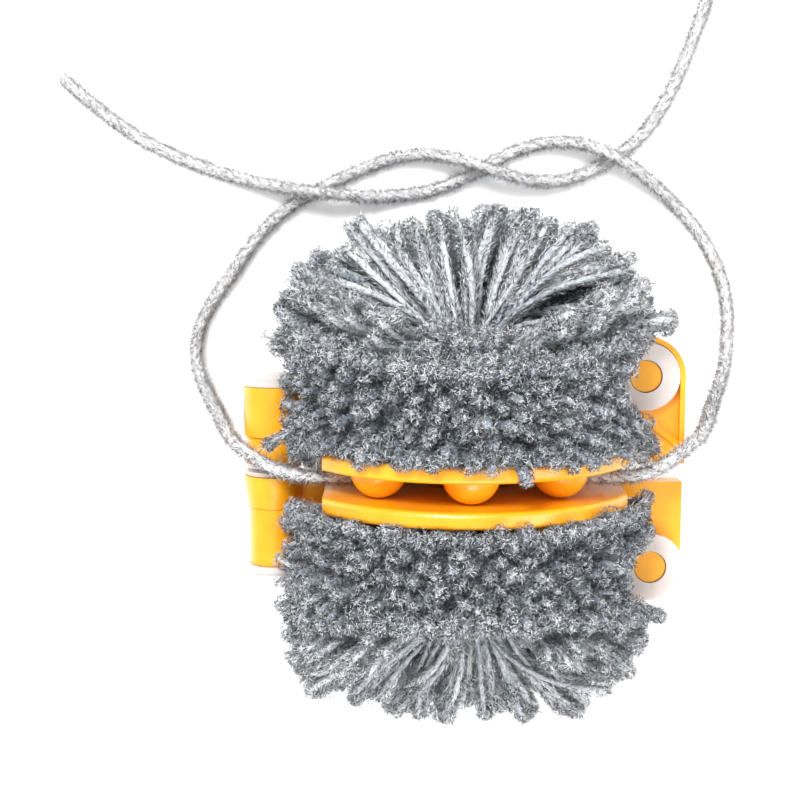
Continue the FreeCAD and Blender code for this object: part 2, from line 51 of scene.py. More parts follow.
# Height of the ring's axis over the table, and where the hinge's axis stands along X
RING_HEIGHT = 45.5
HINGE_X = -48.0
MILLIMETRE = 0.001
# Share of half a circle from one cut end to the next on the spiral lattice
GOLDEN_SHARE = 0.6180339887
# Brightest shade of a fibre's free end
PALEST = 1.4


class Half(Enum):
    """Which half of the maker, and the way its depth runs along Y."""

    UPPER = 1.0
    LOWER = -1.0


class Side(Enum):
    """Which arm of a half, and the way its height runs along Z."""

    NEAR = 1.0
    FAR = -1.0


# Forms and meshes


@dataclass
class Form:
    """Points and faces of a piece before it becomes a mesh.

    Attributes:
        points: one row of x, y, z for each point.
        faces: lists of corner indices, as arrays of three or four columns.
        shade: from 0 where light hardly reaches the fibres to 1 and more at the free tips.
        tint: one random value for each strand or fibre, 0 to 1.
        normals: directions that the light reads in place of the faces' own, or None.
    """

    points: np.ndarray
    faces: list
    shade: np.ndarray
    tint: np.ndarray
    normals: np.ndarray | None = None


def joined(forms: list) -> Form:
    """Put several forms into one.

    Args:
        forms: forms without normals of their own.

    Returns:
        One form with the points of each in turn.
    """
    starts = np.cumsum([0] + [len(form.points) for form in forms])
    faces = [f + start for form, start in zip(forms, starts) for f in form.faces]
    return Form(
        np.concatenate([form.points for form in forms]),
        faces,
        np.concatenate([form.shade for form in forms]),
        np.concatenate([form.tint for form in forms]),
    )


def mesh_object(name: str, form: Form) -> bpy.types.Object:
    """Make a smooth object of a form in metres, with shade and tint as attributes.

    Args:
        name: the object's name.
        form: points, faces and attributes.

    Returns:
        The new object at the origin.
    """
    mesh = bpy.data.meshes.new(name)
    counts = np.concatenate([np.full(len(f), f.shape[1]) for f in form.faces])
    corners = np.concatenate([f.ravel() for f in form.faces]).astype(np.int32)
    mesh.vertices.add(len(form.points))
    mesh.vertices.foreach_set("co", form.points.astype(np.float32).ravel())
    mesh.loops.add(len(corners))
    mesh.loops.foreach_set("vertex_index", corners)
    mesh.polygons.add(len(counts))
    mesh.polygons.foreach_set("loop_start", (np.cumsum(counts) - counts).astype(np.int32))
    mesh.update(calc_edges=True)
    mesh.polygons.foreach_set("use_smooth", np.ones(len(counts), dtype=bool))
    for key, values in (("shade", form.shade), ("tint", form.tint)):
        layer = mesh.attributes.new(key, "FLOAT", "POINT")
        layer.data.foreach_set("value", values.astype(np.float32))
    if form.normals is not None:
        mesh.normals_split_custom_set_from_vertices(form.normals.tolist())
    piece = bpy.data.objects.new(name, mesh)
    bpy.context.scene.collection.objects.link(piece)
    return piece


def unit(vectors: np.ndarray) -> np.ndarray:
    """Vectors scaled to length one along their last axis."""
    return vectors / np.maximum(np.linalg.norm(vectors, axis=-1, keepdims=True), 1e-9)


def tubes(
    paths: np.ndarray,
    radii: np.ndarray,
    tint: np.ndarray,
    reference: np.ndarray,
    sides: int = 6,
    lobe: float = 0.0,
    pitch: float = 9.0,
) -> Form:
    """Carry a round or two-lobed section along many paths at once.

    At each station the section stands square to the path's direction, with its first axis
    square to a reference direction. Its radius is r (1 + lobe cos 2(angle - turn)), where turn
    starts from the path's tint and grows by a circle for each pitch of length, as two plies
    twist round each other.

    Args:
        paths: stations of each path, (paths, stations, 3).
        radii: section radius at each station, (paths, stations).
        tint: one value for each path.
        reference: direction that no path follows, (3,) or (paths, 1, 3).
        sides: corners of the section.
        lobe: share by which the two plies stand out.
        pitch: length of one full turn of the twist.

    Returns:
        A form with closed ends and shade running from the first to the last station.
    """
    count, stations, _ = paths.shape
    ahead = unit(np.gradient(paths, axis=1))
    across = unit(np.cross(ahead, np.broadcast_to(reference, ahead.shape)))
    third = np.cross(ahead, across)
    steps = np.linalg.norm(np.diff(paths, axis=1), axis=2)
    length = np.concatenate([np.zeros((count, 1)), np.cumsum(steps, axis=1)], axis=1)
    angle = np.arange(sides) * 2 * math.pi / sides
    turn = 2 * math.pi * length / pitch + tint[:, None] * 6.0
    swell = 1 + lobe * np.cos(2 * (angle[None, None, :] - turn[:, :, None]))
    reach = radii[:, :, None] * swell
    offset = (
        across[:, :, None, :] * np.cos(angle)[None, None, :, None]
        + third[:, :, None, :] * np.sin(angle)[None, None, :, None]
    )
    points = paths[:, :, None, :] + offset * reach[..., None]
    ring = np.arange(sides)
    after = (ring + 1) % sides
    base = (np.arange(count) * stations * sides)[:, None, None]
    row = (np.arange(stations - 1) * sides)[None, :, None]
    low = base + row
    quads = np.stack(
        [low + ring, low + after, low + sides + after, low + sides + ring], axis=-1
    ).reshape(-1, 4)
    first = (base[:, :, 0] + ring[::-1]).reshape(count, sides)
    last = (base[:, :, 0] + (stations - 1) * sides + ring).reshape(count, sides)
    shade = np.broadcast_to(np.linspace(0, 1, stations)[None, :, None], points.shape[:3])
    tints = np.broadcast_to(tint[:, None, None], points.shape[:3])
    return Form(points.reshape(-1, 3), [quads, first, last], shade.ravel(), tints.ravel())


def fine_fibres(
    roots: np.ndarray,
    directions: np.ndarray,
    lengths: np.ndarray,
    width: float,
    tint: np.ndarray,
    shade: np.ndarray,
    random: np.random.Generator,
    outward: np.ndarray,
    bend: float = 0.3,
) -> Form:
    """Single fibres as narrow bent kites.

    Each runs from its root to its end along its direction. It is widest at 0.45 of its length,
    where it is bent aside by a share of its length. The light reads the direction outwards from
    the tuft or strand that the fibre grows from, so that its fluff shades as one soft form.

    Args:
        roots: where each fibre starts, (n, 3).
        directions: unit direction of each, (n, 3).
        lengths: length of each, (n,).
        width: greatest width.
        tint: one value each.
        shade: shade at the root of each; the end has painted light 0.25 lighter.
        random: source of the bends.
        outward: direction that the light reads for each, (n, 3).
        bend: largest sideways shift, as a share of the length.

    Returns:
        A form with four points and one face a fibre.
    """
    count = len(roots)
    widest = 0.45
    side = unit(np.cross(directions, random.normal(size=(count, 3))))
    aside = np.cross(directions, side)
    shift = (random.uniform(-bend, bend, count) * lengths)[:, None]
    middle = roots + directions * lengths[:, None] * widest + aside * shift
    end = roots + directions * lengths[:, None]
    half = side * width / 2
    points = np.stack([roots, middle - half, end, middle + half], axis=1)
    faces = (np.arange(count) * 4)[:, None] + np.arange(4)
    # Painted light: each fibre is lighter from its root to its end
    lift = np.array([0.0, 0.12, 0.25, 0.12])
    shades = np.clip(shade[:, None] + lift, 0, PALEST)
    normals = np.repeat(outward, 4, axis=0)
    return Form(points.reshape(-1, 3), [faces], shades.ravel(), np.repeat(tint, 4), normals)


def shared_out(fibres: Form, most: int) -> list:
    """Share a form of fine fibres out over forms that each have few enough faces.

    Args:
        fibres: a form of four points and one face a fibre.
        most: the most faces in one form.

    Returns:
        Forms of about equal size.
    """
    count = len(fibres.faces[0])
    shares = -(-count // most)
    cuts = np.linspace(0, count, shares + 1).astype(int)
    found = []
    for begin, end in zip(cuts[:-1], cuts[1:]):
        points = slice(begin * 4, end * 4)
        found.append(
            Form(
                fibres.points[points],
                [fibres.faces[0][: end - begin]],
                fibres.shade[points],
                fibres.tint[points],
                fibres.normals[points],
            )
        )
    return found


def bezier(ends: tuple, stations: int) -> np.ndarray:
    """Stations along cubic curves: (1-t)^3 a + 3(1-t)^2 t b + 3(1-t) t^2 c + t^3 d.

    Args:
        ends: four arrays of (n, 3), the curve's ends and its two handles.
        stations: how many, evenly spaced in t.

    Returns:
        An array of (n, stations, 3).
    """
    t = np.linspace(0, 1, stations)[None, :, None]
    a, b, c, d = (p[:, None, :] for p in ends)
    return (1 - t) ** 3 * a + 3 * (1 - t) ** 2 * t * b + 3 * (1 - t) * t**2 * c + t**3 * d


# Finishes


def linear(code: str) -> tuple:
    """Linear colour of an sRGB hex value, with full alpha."""
    parts = [int(code[i : i + 2], 16) / 255 for i in (0, 2, 4)]
    return (*(p / 12.92 if p <= 0.04045 else ((p + 0.055) / 1.055) ** 2.4 for p in parts), 1.0)


def add(tree: bpy.types.NodeTree, kind: str, settings: dict, links: dict) -> bpy.types.Node:
    """Add a node with its settings and the links into it.

    Args:
        tree: the material's node tree.
        kind: the node's type name.
        settings: values by socket name, or by property name where no socket has it.
        links: output sockets by the name of the socket they feed.

    Returns:
        The new node.
    """
    node = tree.nodes.new(kind)
    for key, value in settings.items():
        if isinstance(key, int) or key in node.inputs:
            node.inputs[key].default_value = value
        else:
            setattr(node, key, value)
    for key, socket in links.items():
        tree.links.new(socket, node.inputs[key])
    return node


def ramp(
    tree: bpy.types.NodeTree, value: bpy.types.NodeSocket, stops: list
) -> bpy.types.NodeSocket:
    """Colour of a value between stops.

    Args:
        tree: the material's node tree.
        value: socket with the value.
        stops: pairs of position and hex colour, from low to high.

    Returns:
        The colour socket.
    """
    node = add(tree, "ShaderNodeValToRGB", {}, {"Fac": value})
    elements = node.color_ramp.elements
    while len(elements) < len(stops):
        elements.new(0.5)
    for element, (position, code) in zip(elements, stops):
        element.position = position
        element.color = linear(code)
    return node.outputs["Color"]


def new_material(name: str) -> tuple:
    """Empty node material with its shader.

    Args:
        name: the material's name.

    Returns:
        The material, its tree and its Principled shader.
    """
    material = bpy.data.materials.new(name)
    material.use_nodes = True
    tree = material.node_tree
    tree.nodes.clear()
    shader = add(tree, "ShaderNodeBsdfPrincipled", {}, {})
    add(tree, "ShaderNodeOutputMaterial", {}, {"Surface": shader.outputs["BSDF"]})
    return material, tree, shader


@dataclass(frozen=True)
class MouldedPlastic:
    """Injection-moulded plastic: smooth skin with a faint flow ripple and fine handling marks."""

    name: str
    deep: str
    face: str
    roughness: float
    subsurface: float
    glow_radius: tuple
    coat: float = 0.0

    def material(self) -> bpy.types.Material:
        """Make the plastic, with ripple and mottle scaled in real millimetres.

        Returns:
            The new material.
        """
        material, tree, shader = new_material(self.name)
        place = add(tree, "ShaderNodeTexCoord", {}, {}).outputs["Object"]
        # Flow ripple of the mould, about 9 mm from crest to crest
        flow = add(tree, "ShaderNodeTexNoise", {"Scale": 110.0, "Detail": 2.0}, {"Vector": place})
        # Fine marks from handling, 0.6 mm across
        marks = add(tree, "ShaderNodeTexNoise", {"Scale": 1700.0, "Detail": 3.0}, {"Vector": place})
        colour = ramp(tree, flow.outputs["Fac"], [(0.35, self.deep), (0.65, self.face)])
        rough = add(
            tree,
            "ShaderNodeMapRange",
            {
                "From Min": 0.3,
                "From Max": 0.75,
                "To Min": self.roughness,
                "To Max": self.roughness + 0.1,
            },
            {"Value": marks.outputs["Fac"]},
        )
        ripple = add(
            tree,
            "ShaderNodeBump",
            {"Strength": 0.12, "Distance": 0.0006},
            {"Height": flow.outputs["Fac"]},
        )
        for socket, source in (
            ("Base Color", colour),
            ("Roughness", rough.outputs["Result"]),
            ("Normal", ripple.outputs["Normal"]),
        ):
            tree.links.new(source, shader.inputs[socket])
        shader.inputs["IOR"].default_value = 1.53
        shader.inputs["Subsurface Weight"].default_value = self.subsurface
        shader.inputs["Subsurface Radius"].default_value = self.glow_radius
        shader.inputs["Subsurface Scale"].default_value = 0.001
        shader.inputs["Coat Weight"].default_value = self.coat
        shader.inputs["Coat Roughness"].default_value = 0.12
        return material


@dataclass(frozen=True)
class HeatherYarn:
    """Spun yarn of fibres dyed in several greys: matt, with painted shade in its crevices and a painted
    pale halo of light at the cut ends.
    """

    name: str
    deep: str
    middle: str
    pale: str
    fleck: str
    fibre_scale: float = 1400.0
    shade_weight: float = 0.75
    tint_weight: float = 0.25
    fibre_weight: float = 1.1
    level: float = -0.55

    def material(self) -> bpy.types.Material:
        """Make the yarn's finish: colour by a weighted sum of shade, tint and fibres, with flecks.

        Returns:
            The new material.
        """
        material, tree, shader = new_material(self.name)
        place = add(tree, "ShaderNodeTexCoord", {}, {}).outputs["Object"]
        shade = add(tree, "ShaderNodeAttribute", {"attribute_name": "shade"}, {}).outputs["Fac"]
        tint = add(tree, "ShaderNodeAttribute", {"attribute_name": "tint"}, {}).outputs["Fac"]
        noise = "ShaderNodeTexNoise"
        # Single fibres, drawn 0.7 mm coarse so that they show
        fine = {"Scale": self.fibre_scale, "Detail": 4.0}
        fibres = add(tree, noise, fine, {"Vector": place}).outputs["Fac"]
        weighted = None
        for weight, source in (
            (self.shade_weight, shade),
            (self.tint_weight, tint),
            (self.fibre_weight, fibres),
        ):
            settings = {"operation": "MULTIPLY_ADD", 1: weight}
            links = {0: source}
            if weighted is None:
                settings[2] = self.level
            else:
                links[2] = weighted
            weighted = add(tree, "ShaderNodeMath", settings, links).outputs[0]
        # Painted light and shade: the shade attribute moves the colour from the deep grey of painted
        # crevice shade to the pale grey of painted light on free ends; tint and fibres add the dye's
        # random greys
        stops = [(0.05, self.deep), (0.5, self.middle), (0.95, self.pale)]
        colour = ramp(tree, weighted, stops)
        # Odd dark or light fibres of the heather mix
        coarse = {"Scale": self.fibre_scale * 0.6, "Detail": 1.0}
        odd = add(tree, noise, coarse, {"Vector": place}).outputs["Fac"]
        chosen = add(
            tree,
            "ShaderNodeMapRange",
            {"From Min": 0.6, "From Max": 0.7, "To Max": 0.5},
            {"Value": odd},
        ).outputs["Result"]
        blended = add(tree, "ShaderNodeMix", {"data_type": "RGBA"}, {})
        tree.links.new(chosen, blended.inputs[0])
        tree.links.new(colour, blended.inputs[6])
        blended.inputs[7].default_value = linear(self.fleck)
        bump = add(
            tree, "ShaderNodeBump", {"Strength": 0.5, "Distance": 0.0004}, {"Height": fibres}
        )
        tree.links.new(blended.outputs[2], shader.inputs["Base Color"])
        tree.links.new(bump.outputs["Normal"], shader.inputs["Normal"])
        shader.inputs["Roughness"].default_value = 0.9
        shader.inputs["Specular IOR Level"].default_value = 0.2
        shader.inputs["Sheen Weight"].default_value = 0.25
        shader.inputs["Sheen Roughness"].default_value = 0.5
        return material


@dataclass(frozen=True)
class PaintedFloor:
    """Matt white studio sweep."""

    colour: str = "FFFFFF"

    def material(self) -> bpy.types.Material:
        """Make the paint, with a faint unevenness.

        Returns:
            The new material.
        """
        material, tree, shader = new_material("matt_white_sweep")
        place = add(tree, "ShaderNodeTexCoord", {}, {}).outputs["Object"]
        cloud = add(tree, "ShaderNodeTexNoise", {"Scale": 6.0}, {"Vector": place}).outputs["Fac"]
        colour = ramp(tree, cloud, [(0.0, "FAFAFA"), (1.0, self.colour)])
        tree.links.new(colour, shader.inputs["Base Color"])
        shader.inputs["Roughness"].default_value = 0.9
        return material


GLOSSY_YELLOW = MouldedPlastic(
    "moulded_yellow_abs", "F8A50C", "FBB11E", 0.28, 0.12, (1.6, 0.8, 0.15), coat=0.4
)
MILKY_CLEAR = MouldedPlastic(
    "moulded_milky_polypropylene", "CDC2BD", "D9CFCA", 0.3, 0.45, (3.0, 2.2, 1.8)
)
CUT_YARN = HeatherYarn("spun_blue_grey_heather", "32363C", "949BA4", "E6E8EB", "DAD8D2")
TIE_YARN = HeatherYarn("plied_pale_grey_heather", "9A9999", "D2D2D4", "F2F2F2", "A39C94")


# Cut yarn


@dataclass
class YarnPile:
    """Cut yarn packed on one arm: a core painted dark as shade, tufted ends, long strands and loose
    fibres.
    """

    half: Half
    side: Side
    seed: int
    # Drum from the rim outwards, with its turned edge
    radius: float = 44.8
    start: float = 6.2
    reach: float = 58.5
    turn_radius: float = 23.5
    # Notch over the fan, whose side leans back over the tufts up to the drum's top
    notch_depth: float = 37.5
    notch_height: float = 14.0
    notch_rise: float = 32.0
    notch_lean: float = 9.0
    # Rooms of the hinge, the latch and the bar's eye, and the gap to the table and other pile
    hinge_room: float = 7.6
    latch_reach: float = 34.0
    eye_room: float = 8.0
    parting: float = 0.6
    table_gap: float = 0.25
    # Packed core: how far it lies inside the tips, and the half circle's steps
    core_inset: float = 4.0
    core_steps: int = 48
    core_hinge_room: float = 13.8
    core_floor: float = 2.2
    # Tufts of cut ends
    tip_spacing: float = 4.5
    packing: float = 0.88
    rim_row: int = 52
    rim_share: float = 0.026
    tipped_share: float = 0.6
    loose_share: float = 0.06
    tip_radius: float = 1.2
    ball_radius: float = 2.15
    ball_share: float = 0.65
    # Long strands of the fan and the crest
    strand_radius: float = 0.75
    strand_stations: int = 18
    fan_count: int = 128
    locks: int = 27
    fan_floor: float = 2.4
    fan_fall: float = 0.22
    crest_count: int = 60
    # Fluff
    fibres_per_tip: int = 320
    fibres_per_strand: int = 380
    tip_fibre_width: float = 0.17
    strand_fibre_width: float = 0.18
    most_fibres: int = 95000
    strays: tuple = ()
    random: np.random.Generator = field(init=False)

    def __post_init__(self) -> None:
        """Seed the pile's own random numbers."""
        self.random = np.random.default_rng(self.seed)

    @property
    def body(self) -> str:
        """Moving body that the pile rides on."""
        return f"{self.half.name.lower()}_{self.side.name.lower()}"

    @property
    def name(self) -> str:
        """Name shared by the pile's pieces and its CAD node."""
        return f"{self.body}_yarn"

    @property
    def latch_height(self) -> float:
        """Height over the ring's axis that clears the bar and the tab or tongue."""
        if self.side is Side.NEAR:
            return 3.2
        return 4.2 if self.half is Half.UPPER else 7.8

    @property
    def latch_left(self) -> float:
        """Left end of the tongue or the tab, as x."""
        return 30.0 if self.side is Side.NEAR else 36.5

    @property
    def hinge_end(self) -> float:
        """Depth at which the hinge's barrel ends."""
        return 24.1 if self.half is Half.UPPER else 27.5

    @property
    def eye(self) -> tuple:
        """Middle of the bar's eye as x and depth."""
        return (45.0, 23.0) if self.half is Half.UPPER else (47.0, 25.5)

    @property
    def profile_length(self) -> float:
        """Length of the whole profile from the rim to the axis."""
        return self.straight + self.turned + self.flat

    @property
    def straight(self) -> float:
        """Length of the profile's straight run along the drum."""
        return self.reach - self.turn_radius - self.start

    @property
    def turned(self) -> float:
        """Length of the profile's quarter circle."""
        return math.pi / 2 * self.turn_radius

    @property
    def flat(self) -> float:
        """Length of the profile's run inwards to the axis."""
        return self.radius - self.turn_radius

    def placed(self, form: Form) -> Form:
        """Turn a form from the arm frame to the row frame, in metres.

        Args:
            form: points as x, depth and height.

        Returns:
            The same form mirrored for its half and side, kept off the table, faces outwards.
        """
        y = self.half.value
        z = self.side.value
        x, depth, height = form.points.T
        up = np.maximum(RING_HEIGHT + z * height, self.table_gap)
        form.points = np.stack([x, y * depth, up], axis=1) * MILLIMETRE
        if form.normals is not None:
            form.normals = form.normals * np.array([1.0, y, z])
        if y * z > 0:
            form.faces = [faces[:, ::-1] for faces in form.faces]
        return form

    def profile(self, share: np.ndarray) -> tuple:
        """Outer profile from the rim of the groove to the ring's axis.

        A straight run along the drum, a quarter circle of the turn radius, and a straight run
        inwards, walked by length. The tip direction leans from towards the groove at the rim,
        over square out, to along the axis at the end.

        Args:
            share: position along the profile, 0 to 1.

        Returns:
            Radius, depth, and the angle of the tips' direction from square out, in radians.
        """
        walked = share * self.profile_length
        angle = np.clip((walked - self.straight) / self.turned, 0, 1) * math.pi / 2
        inner = np.clip(walked - self.straight - self.turned, 0, None)
        radius = self.radius - self.turn_radius * (1 - np.cos(angle)) - inner
        depth = self.start + np.clip(walked, 0, self.straight) + self.turn_radius * np.sin(angle)
        marks = [0, self.straight * 0.5, self.straight, self.straight + self.turned]
        leans = np.radians([-34, -2, 24, 78])
        return radius, depth, np.interp(walked, marks, leans)

    def notched(self, points: np.ndarray) -> np.ndarray:
        """Draw the depth of points in behind the tufts that stand over the notch.

        The tufts end at a plane that leans back over them. Depth d meets the plane's depth e
        in a soft corner, d / (1 + (d / e)^10)^(1/10).

        Args:
            points: positions in the arm frame, (n, 3).

        Returns:
            The positions with their new depths.
        """
        low = self.notch_height
        heights = [low - 4, low, low + self.notch_rise]
        depths = [self.reach + 3, self.notch_depth, self.notch_depth - self.notch_lean]
        end = np.interp(points[:, 2], heights, depths) + self.notch_lean / self.notch_rise
        ratio = np.maximum(points[:, 1], 0.0) / end
        points[:, 1] = points[:, 1] / (1 + ratio**10) ** 0.1
        return points

    def clear(self, points: np.ndarray, margin: float) -> np.ndarray:
        """Which points keep off the hinge, the bar, the tab and, on a near arm, the eye.

        Args:
            points: positions in the arm frame, (n, 3).
            margin: how far to stay away.

        Returns:
            A mask of the points that are clear.
        """
        x, depth, height = points.T
        eye_x, eye_depth = self.eye
        beside = np.hypot(x - HINGE_X, height) > self.hinge_room + margin
        hinge = beside | (depth > self.hinge_end + margin)
        above = height > self.latch_height + margin
        latch = (x < self.latch_left) | (depth > self.latch_reach + margin) | above
        shown = np.hypot(x - eye_x, depth - eye_depth) > self.eye_room + margin * 0.35
        if self.side is Side.FAR:
            shown[:] = True
        return hinge & latch & shown & (height > self.parting + margin * 0.5)

    def beside_eye(self, points: np.ndarray, margin: float) -> np.ndarray:
        """Move points that stand over the near arm's eye left, to the edge of its room.

        At depth d the edge is at x = m - sqrt(r^2 - (d - n)^2), for an eye at m, n and a room of
        radius r.

        Args:
            points: positions in the arm frame, (n, 3).
            margin: how much wider the room is taken.

        Returns:
            The positions with their new x.
        """
        if self.side is Side.FAR:
            return points
        eye_x, eye_depth = self.eye
        room = self.eye_room + margin
        half_width = np.sqrt(np.maximum(room**2 - (points[:, 1] - eye_depth) ** 2, 0.0))
        edge = np.where(half_width > 0, eye_x - half_width, 99.0)
        points[:, 0] = np.minimum(points[:, 0], edge)
        return points

    def ring_points(self, radius: np.ndarray, depth: np.ndarray, angle: np.ndarray) -> np.ndarray:
        """Points of the arm frame at a radius, a depth and an angle over the ring's diameter."""
        radius, depth, angle = np.broadcast_arrays(radius, depth, angle)
        return np.stack([radius * np.cos(angle), depth, radius * np.sin(angle)], axis=-1)

    def core(self) -> Form:
        """Packed yarn behind the tips, painted dark as the shade between the tufts.

        The profile, drawn in by the inset and closed through the hub, is turned about the ring's
        axis over half a circle. Points by the hinge move straight away from it, those in the
        notch drop under the fan, and the lowest ones rise clear of the bar and the tab.

        Returns:
            One closed form in the arm frame.
        """
        inset = self.core_inset
        inside = 9.5
        radius, depth, _ = self.profile(np.linspace(0, 0.93, 26))
        radius = np.concatenate([[3.0, 12.5, 38.0], np.maximum(radius - inset, 1.0)])
        depth = np.concatenate([[12.0, 12.0, inside], np.maximum(depth - inset, inside)])
        depth = np.minimum(depth, self.reach - 2 * inset)
        angle = np.linspace(0, math.pi, self.core_steps + 1)
        points = self.ring_points(radius[None, :], depth[None, :], angle[:, None]).reshape(-1, 3)
        shift = np.array([0.0, inset, inset])
        points = self.notched(points + shift) - shift
        away = points[:, [0, 2]] - np.array([HINGE_X, 0.0])
        distance = np.maximum(np.linalg.norm(away, axis=1), 1e-6)
        pushed = np.maximum(self.core_hinge_room / distance, 1.0)
        push = np.where(points[:, 1] < 29.0, pushed, 1.0)
        points[:, 0] = HINGE_X + away[:, 0] * push
        floor = np.where(points[:, 0] > 28.0, self.latch_height, self.core_floor)
        ceiling = np.where(points[:, 1] > self.notch_depth - 2.0, 4.0, self.radius)
        points[:, 2] = np.maximum(np.minimum(away[:, 1] * push, ceiling), floor)
        points = self.beside_eye(points, 3.0)
        count = len(radius)
        row = (np.arange(self.core_steps) * count)[:, None]
        here = np.arange(count)
        after = (here + 1) % count
        quads = np.stack(
            [row + here, row + count + here, row + count + after, row + after], axis=-1
        ).reshape(-1, 4)
        caps = [here[None, :], (self.core_steps * count + here[::-1])[None, :]]
        # Painted shade: the whole core gets shade 0, the darkest grey of the yarn
        shade = np.zeros(len(points))
        return Form(points, [quads, *caps], shade, shade + 0.3)

    def lumps(self, angle: np.ndarray, share: np.ndarray) -> np.ndarray:
        """How far the tufts stand out in clumps: a broad wave over the surface and a finer one.

        Args:
            angle: angles over the ring's diameter.
            share: positions along the profile.

        Returns:
            The heights of the clumps, within 2 mm.
        """
        broad = np.sin(5 * angle + 19 * share + self.seed) * np.sin(13 * share + 2 * angle)
        fine = np.sin(17 * angle - 9 * share) * np.sin(31 * share + 4 * angle + self.seed)
        return 1.1 * broad + 0.9 * fine

    def tips(self) -> tuple:
        """Cut ends that stand side by side over the whole outside of the pile.

        The ends lie on a spiral lattice: each takes the next equal share of the surface along
        the profile, and an angle that grows by the golden share of half a circle. One more row
        stands along the rim. Each end is a short flared stalk that grows from inside the pile
        along the tips' direction.

        Returns:
            The form of the stalks, the ends' centres, their directions and tints.
        """
        random = self.random
        shares = np.linspace(0, 1, 200)
        radius, _, _ = self.profile(shares)
        whole = np.cumsum(radius)
        area = math.pi * self.profile_length * radius.mean()
        count = int(area / (self.tip_spacing**2 * self.packing))
        order = (np.arange(count) + 0.5) / count
        share = np.interp(order, whole / whole[-1], shares)
        angle = math.pi * np.modf(np.arange(count) * GOLDEN_SHARE)[0]
        share = np.clip(share + random.normal(0, 0.01, count), 0, 1)
        angle = angle + random.normal(0, 0.02, count)
        share = np.concatenate([share, np.full(self.rim_row, self.rim_share)])
        angle = np.concatenate([angle, np.linspace(0.02, math.pi - 0.02, self.rim_row)])
        count = len(share)
        radius, depth, lean = self.profile(share)
        loose = random.random(count) < self.loose_share
        stand_out = self.lumps(angle, share) + random.normal(0, 0.7, count)
        stand_out = stand_out + np.where(loose, random.uniform(0.5, 3.0, count), 0.0)
        lean = lean + random.normal(0, 0.2, count)
        swing = angle + random.normal(0, 0.2, count)
        ahead = self.ring_points(np.cos(lean), np.sin(lean), swing)
        surface = self.ring_points(radius, depth, angle)
        tufted = (share < self.tipped_share) | (surface[:, 2] > self.notch_height + 2.0)
        ends = self.beside_eye(self.notched(surface) + ahead * stand_out[:, None], 1.2)
        kept = self.clear(ends, 2.2) & tufted
        ends, ahead, angle = ends[kept], ahead[kept], angle[kept]
        count = len(ends)
        tint = random.random(count)
        inward = unit(np.stack([-np.cos(angle), np.zeros(count), -np.sin(angle)], axis=1))
        roots = ends - ahead * 6.0 + inward * 4.5
        deep = self.clear(roots, 1.4)
        roots = np.where(deep[:, None], roots, ends - ahead * 2.5)
        paths = bezier((roots, roots - inward * 2.0, ends - ahead * 3.0, ends), 7)
        flare = np.array([0.6, 0.75, 0.9, 1.0, 1.0, 0.8, 0.35])
        size = self.tip_radius * random.uniform(0.8, 1.25, count)
        across = np.array([0.31, 0.74, -0.6])
        form = tubes(paths, size[:, None] * flare[None, :], tint, across, lobe=0.12)
        # Painted shade: stalks are darkest at their roots and lighter towards their ends
        form.shade = 0.5 * form.shade
        return form, ends, ahead, tint

    def fan(self) -> tuple:
        """Strands that rise out of the hub and fan out flat over the end of the pile.

        Seen along the height, they run from the hub to the pile's outline in locks of a few, and
        the ends of each lock are about as far away as the outline is there.

        Returns:
            Starts, handles and ends of the strands, four arrays of (n, 3).
        """
        random = self.random
        count = self.fan_count
        turns = np.linspace(math.radians(-4), math.radians(184), self.locks)
        turns = turns + random.normal(0, 0.06, self.locks)
        stretch = random.normal(0.0, 3.0, self.locks)
        lock = np.arange(count) % self.locks
        turn = turns[lock] + random.normal(0, 0.045, count)
        from_side = np.degrees(np.abs((turn + math.pi / 2) % math.pi - math.pi / 2))
        degrees = [0, 15, 30, 45, 60, 90]
        outline = np.interp(from_side, degrees, [46.0, 44.5, 40.0, 35.5, 30.0, 25.5])
        length = outline + np.clip(stretch[lock] + random.normal(0, 1.6, count), -8.0, 5.0)
        middle = self.notch_depth - 4.5
        depth = middle + length * np.sin(turn)
        fall = self.fan_fall * np.maximum(depth - self.notch_depth, 0)
        top = self.notch_height - 0.5 - fall
        share = random.random(count) ** 0.7
        height = self.fan_floor + (top - self.fan_floor) * share
        end = np.stack([length * np.cos(turn), depth, height], axis=1)
        root = random.uniform(1.0, 9.0, count)
        low = self.fan_floor + 9.0 * share
        start = np.stack([root * np.cos(turn), random.uniform(20, 28, count), low], axis=1)
        reach = np.linalg.norm(end - start, axis=1)[:, None]
        upright = np.array([0.0, 0.97, 0.24])
        rise = start + upright * reach * 0.3 + random.normal(0, 0.8, (count, 3))
        plan = np.stack([np.cos(turn), np.sin(turn), np.zeros(count)], axis=1)
        side = np.stack([-np.sin(turn), np.cos(turn), np.zeros(count)], axis=1)
        curl = random.normal(0, 0.25, self.locks)[lock][:, None]
        bent = unit(plan + side * curl + random.normal(0, 0.08, (count, 3)))
        before = end - bent * reach * 0.42
        before[:, 2] += 3.0 * share
        return start, rise, before, end

    def crest(self) -> tuple:
        """Longer locks that lean out to both sides over the notch.

        Returns:
            Starts, handles and ends of the strands, four arrays of (n, 3).
        """
        random = self.random
        count = self.crest_count
        angle = random.uniform(math.radians(14), math.radians(64), count)
        angle = np.where(random.random(count) < 0.5, angle, math.pi - angle)
        radius = random.uniform(38.0, 46.0, count)
        end = self.ring_points(radius, np.zeros(count), angle)
        end[:, 1] = 50.0 - 0.32 * end[:, 2] + random.normal(0, 1.8, count)
        root = random.uniform(6.0, 12.0, count)
        start = self.ring_points(root, random.uniform(24, 29, count), angle)
        reach = np.linalg.norm(end - start, axis=1)[:, None]
        rise = start + unit(self.ring_points(0.8, 0.6, angle)) * reach * 0.35
        bent = unit(self.ring_points(0.86, 0.5, angle) + random.normal(0, 0.12, (count, 3)))
        return start, rise, end - bent * reach * 0.35, end

